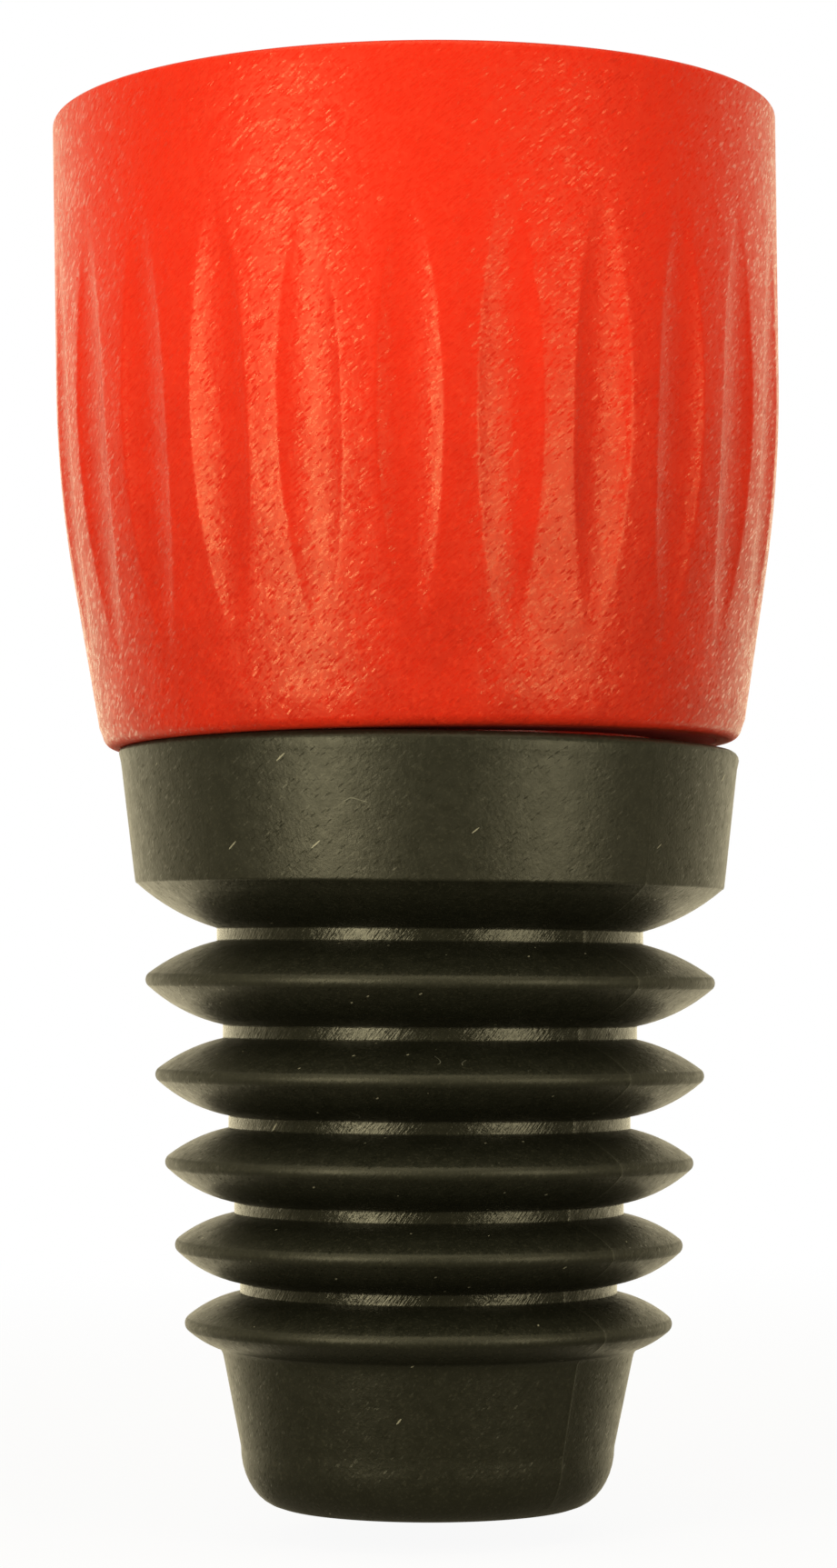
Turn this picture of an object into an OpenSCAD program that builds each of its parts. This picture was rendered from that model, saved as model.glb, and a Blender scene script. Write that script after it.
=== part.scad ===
// Rear bushing of a round cable connector: a fluted grip collar over a threaded core, a ribbed
// boot that bends with the cable, and a slotted chuck that grips the cable. The mouth is up.
// Heights are measured down from the mouth face, which lies at z = 0.

/* [Overall] */
// Length of the whole bushing
total_len = 36.4; // [34:0.1:40]
// Diameter of the grip over its straight upper part
grip_d = 19; // [18:0.1:21]
// Major diameter of the thread in the mouth
thread_d = 15; // [14:0.1:16]
// Diameter of the cable bore in the tail
cable_d = 7; // [6:0.1:7.4]

/* [Grip collar] */
// Height of the grip
grip_len = 16.4; // [15:0.1:17.5]
// Height of the straight upper part
grip_straight_len = 6.5; // [5:0.5:8]
// Height over which the side bends inwards
grip_bend_len = 5; // [3:0.5:6]
// Slope of the lower side, in degrees
grip_taper = 8.8; // [6:0.1:9]
// Wall of the grip at its lower end
grip_low_wall = 0.65; // [0.55:0.05:0.9]
// Rounding of the lower edge
grip_low_edge_r = 0.35; // [0.1:0.05:0.45]
// Rounding of the rim at the mouth
grip_rim_edge_r = 0.15; // [0.05:0.05:0.3]
// Number of flutes around the grip
flute_count = 24; // [16:1:26]
// Distance from the mouth to the upper end of a flute
flute_top = 3.5; // [2.5:0.5:4]
// Distance from the lower end of a flute to the lower edge
flute_low = 1.9; // [1.2:0.1:3]
// Radius of the twelve-sided bar that cuts a flute
flute_r = 1.25; // [0.8:0.05:1.25]
// Angle by which the flutes are turned about the axis, in degrees
flute_turn = -1.3; // [-7:0.1:7]

/* [Threaded core] */
// Share of the wall outside the thread that belongs to the core
core_share = 0.35; // [0.3:0.05:0.4]
// Length of the core, with the sleeve that carries the boot
core_len = 19.8; // [18.5:0.1:21]
// Length of the core's narrow part inside the grip
core_seat_len = 4.9; // [4.2:0.1:5.5]
// Wall of the narrow part around the chuck chamber
chamber_wall = 1; // [0.8:0.1:1.2]
// Width of one key that stops the core turning in the grip
key_w = 1.2; // [0.8:0.1:2]
// Share of the step at the shoulder that a key stands up
key_share = 0.6; // [0.4:0.05:0.8]
// Length of a key
key_len = 3; // [1:0.5:3.5]
// Number of keys
key_count = 6; // [3:1:8]
// Depth of the plain lead-in above the thread
lead_len = 1.4; // [1.1:0.1:1.8]
// Pitch of the thread
thread_pitch = 1; // [0.75:0.25:1]
// Number of turns of the thread
thread_turns = 7; // [4:1:7]
// Diameter of the throat below the cone
throat_d = 8.8; // [8.4:0.1:9.4]
// Height of the throat
throat_len = 1; // [0.6:0.1:1.5]
// Distance from the cone's upper edge down to the grip's lower edge
cone_up = 2.8; // [2.6:0.1:3.2]
// Wall of the sleeve at its upper end, around the cone
sleeve_wall = 0.74; // [0.6:0.02:0.9]
// Rise of the rings that hold the boot on the sleeve
barb_h = 0.5; // [0.2:0.05:0.6]
// Number of rings on the sleeve
barb_count = 2; // [1:1:3]

/* [Boot] */
// How far the boot's upper edge stands inside the grip's lower edge
collar_inset = 0.2; // [0.1:0.05:0.4]
// Slope of the collar's side, in degrees
collar_taper = 6.4; // [3:0.1:8]
// Height of the collar below the end of the sleeve
collar_cover = 0.25; // [0.15:0.05:0.6]
// Height of the domed face below the collar
dome_len = 1.15; // [0.9:0.05:1.4]
// Number of ribs
rib_count = 5; // [3:1:7]
// How much closer each next rib is, as a share of the first distance
rib_shrink = 0.0565; // [0:0.0005:0.07]
// How far the first rib stands inside the collar's lower edge
rib_inset = 0.27; // [0:0.01:0.6]
// How much smaller the last rib is than the first, in radius
rib_narrowing = 1.08; // [0.6:0.02:1.2]
// Rise of the first rib above its neck
rib_first_rise = 1.88; // [1.6:0.02:1.9]
// Rise of the last rib above its neck
rib_last_rise = 1.45; // [1.2:0.05:1.5]
// Height of the flat on a crest
crest_len = 0.12; // [0.06:0.02:0.2]
// How far the side of a rib swells out from a straight line
flank_swell = 0.13; // [0.05:0.01:0.16]
// Length of the plain tail
tail_len = 4.1; // [3:0.1:6]
// How far the tail stands inside the last rib
tail_inset = 0.97; // [0.8:0.01:1.1]
// Slope of the tail's side, in degrees
tail_taper = 10.4; // [4:0.2:10.4]

/* [Chuck] */
// Height of the chuck ring
ring_len = 1.8; // [1.4:0.1:2]
// Bore of the chuck ring, at whose lower edge the jaws hinge
ring_bore_d = 8.4; // [8.2:0.1:8.6]
// Chamfer of the chuck ring
ring_chamfer = 0.3; // [0.1:0.05:0.5]
// Length of the jaws below the ring
jaw_len = 6.6; // [6.2:0.1:6.8]
// Thickness of a jaw between the ring and its pad
jaw_t = 1; // [0.8:0.05:1.1]
// Height of the rounded heel above the end of a jaw
heel_up = 1.4; // [1.2:0.05:1.5]
// Radius of the heel
heel_r = 0.6; // [0.4:0.05:0.6]
// Diameter inside the open jaws
clamp_d = 7.6; // [7.4:0.1:8]
// Length of the toothed pad on a jaw
pad_len = 3.9; // [3:0.1:4.2]
// Number of grooves across a pad
tooth_count = 4; // [2:1:5]
// Depth of the grooves
tooth_depth = 0.3; // [0.1:0.05:0.4]
// Radius at which the gaps between jaws would close to nothing
jaw_wedge_r = 1.9; // [1.9:0.05:2.2]

/* [Fits] */
// Play between moulded pieces that stay together
seat_gap = 0.02; // [0:0.01:0.05]
// Gap between the open jaws and the cone
cone_gap = 0.12; // [0.12:0.01:0.2]
// Gap between the chuck ring and the chamber or the thread, whichever is narrower
ring_gap = 0.15; // [0.1:0.05:0.3]
// Gap between the grip's lower edge and the boot
seam_gap = 0.1; // [0.05:0.05:0.15]

/* [Hidden] */
$fn = 96;
bend_steps = 8;
edge_steps = 5;
cut_reach = 1;
jaw_count = 6;
jaw_pitch = 360 / jaw_count;

grip_r = grip_d / 2;
grip_bend_r = grip_bend_len / sin(grip_taper);
grip_bend_in = grip_bend_r * (1 - cos(grip_taper));
grip_bend_end = grip_straight_len + grip_bend_len;
grip_low_r = grip_r - grip_bend_in - (grip_len - grip_bend_end) * tan(grip_taper);
flute_end = grip_len - flute_low;

thread_r = thread_d / 2;
thread_minor_r = thread_r - 0.5413 * thread_pitch;
thread_end = lead_len + thread_turns * thread_pitch;
core_r = thread_r + core_share * (grip_r - thread_r);
lead_r = (thread_r + core_r) / 2;
core_low_r = grip_low_r - grip_low_wall;
core_shoulder = grip_len - core_seat_len;
key_h = key_share * (core_r - core_low_r);
chamber_r = core_low_r - chamber_wall;
throat_r = throat_d / 2;
cone_end = core_len - throat_len;
cone_top = grip_len - cone_up;
cone_slope = (chamber_r - throat_r) / (cone_end - cone_top);
sleeve_r = cone_radius(grip_len) + sleeve_wall;

boot_top = grip_len + seam_gap;
collar_r = grip_low_r - collar_inset;
collar_end = core_len + collar_cover;
collar_low_r = collar_r - (collar_end - boot_top) * tan(collar_taper);
bellows_top = collar_end + dome_len;
tail_top = total_len - tail_len;
barb_pitch = (core_len - boot_top) / (barb_count + 0.5);
barb_len = 0.45 * barb_pitch;

// A rib takes these shares of the distance to the next rib, above and below its crest
rib_up_share = 0.41;
rib_low_share = 0.47;
neck_share = 0.14;
last_low_share = 0.35;
last_rib = rib_count - 1;
rib_pitch = (tail_top - bellows_top) / (neck_share + rib_up_share + last_rib
    - rib_shrink * last_rib * (last_rib - 1) / 2 + last_low_share * (1 - last_rib * rib_shrink));
rib_first_r = collar_low_r - rib_inset;
tail_r = rib_first_r - rib_narrowing - tail_inset;
tail_low_r = tail_r - 0.72 * tail_len * tan(tail_taper);
cable_r = cable_d / 2;
tail_edge_r = 0.7 * (tail_low_r - cable_r);
exit_r = 0.2 * (tail_low_r - cable_r);
tail_round = total_len - tail_edge_r;
boot_bore_top_r = throat_r - 0.1;

// The chuck rests with its heels this far below the cone's upper edge
heel_below = 2.3;
heel_depth = cone_top + heel_below;
jaw_end = heel_depth + heel_up;
ring_low = jaw_end - jaw_len;
ring_top = ring_low - ring_len;
ring_r = min(chamber_r, thread_minor_r) - ring_gap;
hinge_r = ring_bore_d / 2;
clamp_r = clamp_d / 2;
pad_top = jaw_end - pad_len;
tooth_pitch = pad_len / (tooth_count + 1);
// The heel's centre keeps cone_gap between the heel and the cone, measured square to the cone
heel_x = cone_radius(heel_depth)
    - (heel_r + cone_gap) * sqrt(1 + cone_slope * cone_slope);

// Radius of the core's cone at a depth
function cone_radius(depth) = max(throat_r, chamber_r - cone_slope * (depth - cone_top));

// Radius of the grip's side at a depth
function grip_side(depth) =
    depth < grip_straight_len ? grip_r :
    depth < grip_bend_end ?
        grip_r - grip_bend_r + sqrt(pow(grip_bend_r, 2) - pow(depth - grip_straight_len, 2)) :
        grip_r - grip_bend_in - (depth - grip_bend_end) * tan(grip_taper);

// Points of an arc from a to b that swells to the left of the straight line by the amount given
function arc(a, b, swell, steps) =
    let (
        chord = b - a,
        half = norm(chord) / 2,
        side = [-chord.y, chord.x] / (2 * half),
        r = (half * half + swell * swell) / (2 * swell),
        turn = asin(half / r),
        centre = (a + b) / 2 - side * (r - swell)
    )
    [for (i = [0 : steps]) let (t = turn * (2 * i / steps - 1))
        centre + r * (side * cos(t) + chord / (2 * half) * sin(t))];

// Points of a quarter round about a centre, from one angle to another
function round_edge(centre, r, from, to) =
    [for (i = [0 : edge_steps]) let (t = from + (to - from) * i / edge_steps)
        centre + r * [cos(t), sin(t)]];

// Depth of a rib's crest, the distance to the next one, the radius there and the neck's radius above
function rib_depth(i) = bellows_top
    + rib_pitch * (neck_share + rib_up_share + i - rib_shrink * i * (i - 1) / 2);
function rib_room(i) = rib_pitch * (1 - i * rib_shrink);
function rib_r(i) = rib_first_r - rib_narrowing * i / last_rib;
function neck_r(i) = rib_r(i) - rib_first_rise - (rib_last_rise - rib_first_rise) * i / last_rib;
// Radius of the boot's bore, which narrows evenly from the sleeve down to the tail
function boot_bore_r(depth) =
    boot_bore_top_r + (cable_r - boot_bore_top_r) * (depth - core_len) / (tail_top - core_len);

// Depth of a ring on the sleeve, counted from the top
function barb_depth(i) = boot_top + (i - 0.7) * barb_pitch;

// One rib as outline points, from its upper root over the crest to its lower root
function rib_points(i) =
    let (
        up = [neck_r(i), -(rib_depth(i) - rib_up_share * rib_room(i))],
        crest_up = [rib_r(i), -(rib_depth(i) - crest_len / 2)],
        crest_low = [rib_r(i), -(rib_depth(i) + crest_len / 2)],
        low = i < last_rib ?
            [neck_r(i + 1), -(rib_depth(i) + rib_low_share * rib_room(i))] :
            [tail_r, -tail_top]
    )
    concat(arc(up, crest_up, flank_swell, edge_steps), arc(crest_low, low, flank_swell, edge_steps));

// Turns an outline given as a list of [radius, height] points about the axis
module turned(points) rotate_extrude() polygon(points);

// Places its child at every step around the axis
module around(count) for (i = [0 : count - 1]) rotate(i * 360 / count) children();

module grip_collar() {
    color("orangered")
    difference() {
        turned(concat(
            [[core_r + seat_gap, 0]],
            round_edge([grip_r - grip_rim_edge_r, -grip_rim_edge_r], grip_rim_edge_r, 90, 0),
            [for (i = [0 : bend_steps]) let (depth = grip_straight_len + i * grip_bend_len / bend_steps)
                [grip_side(depth), -depth]],
            round_edge([grip_low_r - grip_low_edge_r, grip_low_edge_r - grip_len],
                grip_low_edge_r, -grip_taper, -90),
            [
                [core_low_r + seat_gap, -grip_len],
                [core_low_r + seat_gap, -core_shoulder - seat_gap],
                [core_r + seat_gap, -core_shoulder - seat_gap]
            ]
        ));
        rotate(flute_turn) around(flute_count) flute_cut();
        around(key_count)
            translate([0, -key_w / 2 - seat_gap, -core_shoulder - key_len - seat_gap])
            cube([core_low_r + key_h + seat_gap, key_w + 2 * seat_gap, key_len + cut_reach]);
    }
}

// A straight bar with twelve sides, one of them facing the axis. It meets the grip's side at the
// flute's two ends and cuts in between them, where the side swells out.
module flute_cut() {
    bar_sides = 12;
    half_side = 180 / bar_sides;
    top = [grip_side(flute_top), -flute_top];
    low = [grip_side(flute_end), -flute_end];
    lean = atan2(top.x - low.x, flute_end - flute_top);
    translate([low.x, 0, low.y])
    rotate([0, lean, 0])
    translate([flute_r * cos(half_side), 0, -cut_reach])
    rotate(half_side)
    cylinder(r = flute_r, h = norm(top - low) + 2 * cut_reach, $fn = bar_sides);
}

// The thread is drawn as a groove to each turn, with the flats of its crests as the bore
module thread_core() {
    thread_half_root = thread_pitch / 16;
    thread_half_mouth = thread_pitch * 3 / 8;
    color("orangered")
    union() {
        turned(concat(
            [
                [lead_r, 0],
                [core_r, 0],
                [core_r, -core_shoulder],
                [core_low_r, -core_shoulder],
                [core_low_r, -grip_len],
                [sleeve_r, -grip_len]
            ],
            [for (i = [1 : barb_count]) each [
                [sleeve_r, -barb_depth(i)],
                [sleeve_r + barb_h, -barb_depth(i)],
                [sleeve_r + barb_h / 2, -barb_depth(i) - barb_len],
                [sleeve_r, -barb_depth(i) - barb_len]
            ]],
            [
                [sleeve_r, -core_len],
                [throat_r, -core_len],
                [throat_r, -cone_end],
                [chamber_r, -cone_top],
                [chamber_r, -thread_end]
            ],
            [for (i = [thread_turns - 1 : -1 : 0]) let (mid = -lead_len - (i + 0.5) * thread_pitch) each [
                [thread_minor_r, mid - thread_half_mouth],
                [thread_r, mid - thread_half_root],
                [thread_r, mid + thread_half_root],
                [thread_minor_r, mid + thread_half_mouth]
            ]],
            [[thread_minor_r, -lead_len], [lead_r, -lead_len]]
        ));
        around(key_count)
            translate([core_low_r - key_h, -key_w / 2, -core_shoulder - key_len])
            cube([2 * key_h, key_w, key_len + key_h]);
    }
}

module boot_collar() {
    barb_gap_r = sleeve_r + barb_h + seat_gap;
    color([0.13, 0.13, 0.13])
    difference() {
        turned(concat(
            [[0, -boot_top], [collar_r, -boot_top]],
            arc([collar_low_r, -collar_end], [neck_r(0), -bellows_top], flank_swell, edge_steps),
            [[0, -bellows_top]]
        ));
        translate([0, 0, -core_len - seat_gap])
            cylinder(r = sleeve_r + seat_gap, h = core_len - boot_top + cut_reach);
        for (i = [1 : barb_count])
            translate([0, 0, -barb_depth(i) - barb_len - seat_gap])
            cylinder(r = barb_gap_r, h = barb_len + 2 * seat_gap);
        turned([
            [0, -bellows_top - cut_reach],
            [boot_bore_r(bellows_top + cut_reach), -bellows_top - cut_reach],
            [boot_bore_r(core_len), -core_len],
            [0, -core_len]
        ]);
    }
}

module boot_bellows() {
    color([0.1, 0.1, 0.1])
    turned(concat(
        [[neck_r(0), -bellows_top]],
        [for (i = [0 : rib_count - 1]) each rib_points(i)],
        [[cable_r, -tail_top], [boot_bore_r(bellows_top), -bellows_top]]
    ));
}

module boot_tail() {
    color([0.16, 0.16, 0.16])
    turned(concat(
        [[cable_r, -tail_top], [tail_r, -tail_top]],
        round_edge([tail_low_r - tail_edge_r, -tail_round], tail_edge_r, 0, -90),
        round_edge([cable_r + exit_r, exit_r - total_len], exit_r, -90, -180)
    ));
}

module chuck_ring() {
    color("ivory")
    turned([
        [hinge_r, -ring_low],
        [ring_r, -ring_low],
        [ring_r, -ring_top - ring_chamfer],
        [ring_r - ring_chamfer, -ring_top],
        [hinge_r + ring_chamfer, -ring_top],
        [hinge_r, -ring_top - ring_chamfer]
    ]);
}

// A jaw hangs from the ring's lower inner edge, which is its hinge, and its teeth face the axis
module chuck_jaw() {
    outer_r = heel_x + heel_r;
    wedge = tan(jaw_pitch / 2);
    color("ivory")
    intersection() {
        turned(concat(
            [
                [hinge_r, -ring_low],
                [hinge_r + jaw_t, -ring_low],
                [hinge_r + jaw_t, -heel_depth + heel_r]
            ],
            round_edge([heel_x, -heel_depth], heel_r, 60, -60),
            [
                [heel_x - heel_r / 2, -jaw_end],
                [clamp_r, -jaw_end]
            ],
            [for (i = [tooth_count : -1 : 1]) let (mid = -pad_top - i * tooth_pitch) each [
                [clamp_r, mid - tooth_pitch / 4],
                [clamp_r + tooth_depth, mid - tooth_pitch / 4],
                [clamp_r, mid + tooth_pitch / 4]
            ]],
            [[clamp_r, -pad_top], [hinge_r, -pad_top + (hinge_r - clamp_r)]]
        ));
        translate([0, 0, -jaw_end - cut_reach])
        linear_extrude(jaw_end - ring_low + 2 * cut_reach)
        polygon([
            [jaw_wedge_r, 0],
            [outer_r + cut_reach, (outer_r + cut_reach - jaw_wedge_r) * wedge],
            [outer_r + cut_reach, -(outer_r + cut_reach - jaw_wedge_r) * wedge]
        ]);
    }
}

module chuck_jaw_at(i) rotate(i * jaw_pitch) chuck_jaw();

grip_collar();
thread_core();
boot_collar();
boot_bellows();
boot_tail();
chuck_ring();
chuck_jaw_at(0);  // chuck_jaw_1
chuck_jaw_at(1);  // chuck_jaw_2
chuck_jaw_at(2);  // chuck_jaw_3
chuck_jaw_at(3);  // chuck_jaw_4
chuck_jaw_at(4);  // chuck_jaw_5
chuck_jaw_at(5);  // chuck_jaw_6
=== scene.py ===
import math

import bmesh
import bpy
from mathutils import Matrix, Vector


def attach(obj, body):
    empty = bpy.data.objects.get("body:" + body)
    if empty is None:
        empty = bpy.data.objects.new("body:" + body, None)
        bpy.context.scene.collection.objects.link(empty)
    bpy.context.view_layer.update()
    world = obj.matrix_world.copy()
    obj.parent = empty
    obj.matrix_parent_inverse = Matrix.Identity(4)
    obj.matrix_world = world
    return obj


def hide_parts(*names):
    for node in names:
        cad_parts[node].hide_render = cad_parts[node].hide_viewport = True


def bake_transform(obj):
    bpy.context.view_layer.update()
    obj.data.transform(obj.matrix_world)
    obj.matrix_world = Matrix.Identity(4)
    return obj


mm = 0.001
fullTurn = 2 * math.pi

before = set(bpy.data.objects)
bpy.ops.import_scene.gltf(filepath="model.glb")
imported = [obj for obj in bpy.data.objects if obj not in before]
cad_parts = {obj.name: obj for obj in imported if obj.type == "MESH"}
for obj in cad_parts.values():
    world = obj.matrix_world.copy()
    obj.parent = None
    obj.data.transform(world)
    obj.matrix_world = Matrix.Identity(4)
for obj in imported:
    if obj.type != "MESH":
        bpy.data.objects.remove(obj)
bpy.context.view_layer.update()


camera = {
    "place": (-0.197, -105.6, -23.1),   # mm
    "roll": -0.79,                      # degrees
    "lens": 91.83,
    "sensor": 36.0,
    "rise": 0.1377,                     # share of the frame's height by which the view is shifted up
    "near": 5,                          # mm
    "far": 10000,
}


def addCamera():
    data = bpy.data.cameras.new("bushingCamera")
    data.lens = camera["lens"]
    data.sensor_width = camera["sensor"]
    data.shift_y = camera["rise"]
    data.clip_start = camera["near"] * mm
    data.clip_end = camera["far"] * mm
    eye = bpy.data.objects.new("bushingCamera", data)
    level = Matrix.Rotation(math.radians(90), 4, "X")
    roll = Matrix.Rotation(math.radians(camera["roll"]), 4, "Z")
    eye.matrix_world = Matrix.Translation(Vector(camera["place"]) * mm) @ level @ roll
    bpy.context.scene.collection.objects.link(eye)
    bpy.context.scene.camera = eye


addCamera()
bpy.context.scene.view_settings.view_transform = "Standard"


def arcPoints(start, end, swell, steps):
    # an arc from start to end that swells to the left of the straight line
    a, b = Vector(start), Vector(end)
    chord = b - a
    half = chord.length / 2
    side = Vector((-chord.y, chord.x)) / (2 * half)
    radius = (half * half + swell * swell) / (2 * swell)
    reach = math.asin(half / radius)
    centre = (a + b) / 2 - side * (radius - swell)
    points = []
    for i in range(steps + 1):
        t = reach * (2 * i / steps - 1)
        points.append(centre + radius * (side * math.cos(t) + chord / (2 * half) * math.sin(t)))
    return [(p.x, p.y) for p in points]


def cornerPoints(centre, radius, fromAngle, toAngle, steps):
    # part of a circle, angles in degrees from the outward direction
    points = []
    for i in range(steps + 1):
        t = math.radians(fromAngle + (toAngle - fromAngle) * i / steps)
        points.append((centre[0] + radius * math.cos(t), centre[1] + radius * math.sin(t)))
    return points


def turnPoints(points, steps, angle=fullTurn, closed=True):
    # spins an outline of (radius, height) points in mm about the axis
    bm = bmesh.new()
    ring = [bm.verts.new((r * mm, 0, z * mm)) for r, z in points]
    pairs = list(zip(ring, ring[1:]))
    if closed:
        pairs.append((ring[-1], ring[0]))
    edges = [bm.edges.new(pair) for pair in pairs]
    bmesh.ops.spin(bm, geom=ring + edges, cent=(0, 0, 0), axis=(0, 0, 1), dvec=(0, 0, 0),
                   angle=angle, steps=steps, use_merge=angle >= fullTurn, use_duplicate=False)
    bmesh.ops.remove_doubles(bm, verts=bm.verts, dist=0.0001 * mm)
    bmesh.ops.recalc_face_normals(bm, faces=bm.faces)
    return bm


def makePiece(name, bm, material, sharpAngle=30):
    for face in bm.faces:
        face.smooth = True
    for edge in bm.edges:
        if len(edge.link_faces) == 2 and edge.calc_face_angle(0) > math.radians(sharpAngle):
            edge.smooth = False
    mesh = bpy.data.meshes.new(name)
    bm.to_mesh(mesh)
    bm.free()
    mesh.materials.append(material)
    piece = bpy.data.objects.new(name, mesh)
    bpy.context.scene.collection.objects.link(piece)
    print(name, "made:", len(mesh.polygons), "faces")
    return piece


def startMaterial(name, look):
    # values that are the same all over the surface are set on the shader itself
    material = bpy.data.materials.new(name)
    material.use_nodes = True
    tree = material.node_tree
    tree.nodes.clear()
    shader = tree.nodes.new("ShaderNodeBsdfPrincipled")
    output = tree.nodes.new("ShaderNodeOutputMaterial")
    tree.links.new(shader.outputs["BSDF"], output.inputs["Surface"])
    shader.inputs["IOR"].default_value = look["index"]
    if "tint" in look:
        shader.inputs["Specular Tint"].default_value = (*look["tint"], 1)
    if "scatter" in look:
        weight, radius, depth = look["scatter"]
        shader.inputs["Subsurface Weight"].default_value = weight
        shader.inputs["Subsurface Radius"].default_value = radius
        shader.inputs["Subsurface Scale"].default_value = depth * mm
    return material, tree, shader


def patternPlace(tree, attribute=None):
    # where a pattern is read: the piece's own rest place, or its object coordinates
    if attribute:
        node = tree.nodes.new("ShaderNodeAttribute")
        node.attribute_name = attribute
        return node.outputs["Vector"]
    return tree.nodes.new("ShaderNodeTexCoord").outputs["Object"]


def partOf(tree, vector, axis):
    node = tree.nodes.new("ShaderNodeSeparateXYZ")
    tree.links.new(vector, node.inputs["Vector"])
    return node.outputs[axis]


def stretched(tree, where, share):
    # patterns read here come out longer along the axis
    node = tree.nodes.new("ShaderNodeMapping")
    node.inputs["Scale"].default_value = (1, 1, share)
    tree.links.new(where, node.inputs["Vector"])
    return node.outputs["Vector"]


def twisted(tree, where, radius):
    # patterns read here run round the axis at 45 degrees, on a surface of this radius
    node = tree.nodes.new("ShaderNodeVectorRotate")
    node.rotation_type = "Z_AXIS"
    tree.links.new(where, node.inputs["Vector"])
    turn = mathOf(tree, "MULTIPLY", partOf(tree, where, "Z"), -1 / (radius * mm))
    tree.links.new(turn, node.inputs["Angle"])
    return node.outputs["Vector"]


def noiseAt(tree, where, grain, detail=2.0, rough=0.5):
    # grain is the size of the pattern in mm
    node = tree.nodes.new("ShaderNodeTexNoise")
    node.inputs["Scale"].default_value = 1 / (grain * mm)
    node.inputs["Detail"].default_value = detail
    node.inputs["Roughness"].default_value = rough
    tree.links.new(where, node.inputs["Vector"])
    return node.outputs["Fac"]


def cellsAt(tree, where, spacing, share):
    # the cells of a random pattern, and 1 in those of them that are chosen
    node = tree.nodes.new("ShaderNodeTexVoronoi")
    node.inputs["Scale"].default_value = 1 / (spacing * mm)
    tree.links.new(where, node.inputs["Vector"])
    chosen = mathOf(tree, "LESS_THAN", partOf(tree, node.outputs["Color"], "X"), share)
    return node, chosen


def flecksAt(tree, where, spacing, size, share):
    # tiny specks of dust: 1 on a speck, and only some of the cells have one
    node, chosen = cellsAt(tree, where, spacing, share)
    near = mathOf(tree, "LESS_THAN", node.outputs["Distance"], size / spacing)
    return mathOf(tree, "MULTIPLY", near, chosen)


def glintsAt(tree, where, spacing, size, share, tilt):
    # tiny facets that lean their own way: where they are, and the surface's normal with them
    node, chosen = cellsAt(tree, where, spacing, share)
    near = remap(tree, node.outputs["Distance"], size / spacing, 0.7 * size / spacing, 0, 1)
    facets = mathOf(tree, "MULTIPLY", near, chosen)
    lean = vectorMath(tree, "SUBTRACT", node.outputs["Color"], (share / 2, 0.5, 0.5))
    lean = vectorMath(tree, "SCALE", lean, mathOf(tree, "MULTIPLY", facets, tilt))
    surface = tree.nodes.new("ShaderNodeNewGeometry").outputs["Normal"]
    return facets, vectorMath(tree, "NORMALIZE", vectorMath(tree, "ADD", surface, lean))


def vectorMath(tree, operation, a, b=None):
    node = tree.nodes.new("ShaderNodeVectorMath")
    node.operation = operation
    tree.links.new(a, node.inputs[0])
    if operation == "SCALE":
        tree.links.new(b, node.inputs["Scale"])
    elif isinstance(b, tuple):
        node.inputs[1].default_value = b
    elif b is not None:
        tree.links.new(b, node.inputs[1])
    return node.outputs["Vector"]


def remap(tree, value, fromLow, fromHigh, toLow, toHigh, smooth=False):
    node = tree.nodes.new("ShaderNodeMapRange")
    if smooth:
        node.interpolation_type = "SMOOTHSTEP"
    node.inputs["From Min"].default_value = fromLow
    node.inputs["From Max"].default_value = fromHigh
    node.inputs["To Min"].default_value = toLow
    node.inputs["To Max"].default_value = toHigh
    tree.links.new(value, node.inputs["Value"])
    return node.outputs["Result"]


def mathOf(tree, operation, a, b=None):
    node = tree.nodes.new("ShaderNodeMath")
    node.operation = operation
    for socket, value in zip(node.inputs, (a, b)):
        if value is None:
            continue
        if isinstance(value, (int, float)):
            socket.default_value = value
        else:
            tree.links.new(value, socket)
    return node.outputs["Value"]


def mixColours(tree, share, a, b):
    node = tree.nodes.new("ShaderNodeMix")
    node.data_type = "RGBA"
    tree.links.new(share, node.inputs["Factor"])
    for socket, value in ((node.inputs[6], a), (node.inputs[7], b)):
        if isinstance(value, tuple):
            socket.default_value = (*value, 1)
        else:
            tree.links.new(value, socket)
    return node.outputs[2]


def bumpOf(tree, height, depth, under=None):
    # depth is the height of the relief in mm
    node = tree.nodes.new("ShaderNodeBump")
    node.inputs["Strength"].default_value = 1.0
    node.inputs["Distance"].default_value = depth * mm
    tree.links.new(height, node.inputs["Height"])
    if under is not None:
        tree.links.new(under, node.inputs["Normal"])
    return node.outputs["Normal"]


grip = {
    "radius": 9.5,
    "length": 16.4,
    "straight": 7.0,
    "bend": 5.0,
    "taper": 9.0,
    "lowEdge": 0.36,
    "rimEdge": 0.15,
    "seatRadius": 8.22,
    "lowSeatRadius": 7.7267,
    "shoulder": 11.52,
    "fluteCount": 24,
    "fluteTop": 3.2,
    "fluteLow": 14.5,
    "fluteRadius": 2.3,             # of its hollow, across
    "fluteDepth": 0.19,             # at its middle
    "flutePoint": 1.5,              # 1 gives round ends, 2 gives pointed ones
    "fluteTurn": -1.3,
    "edgeSoft": 0.02,
    "wall": 0.3,                    # least wall, beyond which a vertex is on the outside
    "fluteRows": 52,
    "rowCrowding": 0.08,            # the rows stand closer near the flutes' ends
    "rowsAbove": [0.5, 1, 1.6, 2.1, 2.5, 2.8, 3.05],
    "rowsBelow": [14.65, 14.9, 15.2, 15.55, 15.85],
    # where the columns of one flute stand: a share of the flute's half width up to 1,
    # then a share of the land from 1 to 2
    "columns": [0, 0.14, 0.28, 0.42, 0.55, 0.67, 0.78, 0.87, 0.94, 1.0, 1.12, 1.35, 1.65, 2.0],
    # over these heights above and below the flutes the columns even out
    "evenAbove": 3.0,
    "evenBelow": 1.6,
    "leastWidth": (0.05, 0.2),      # of a flute's columns, and how much wider where they are even
}
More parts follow.
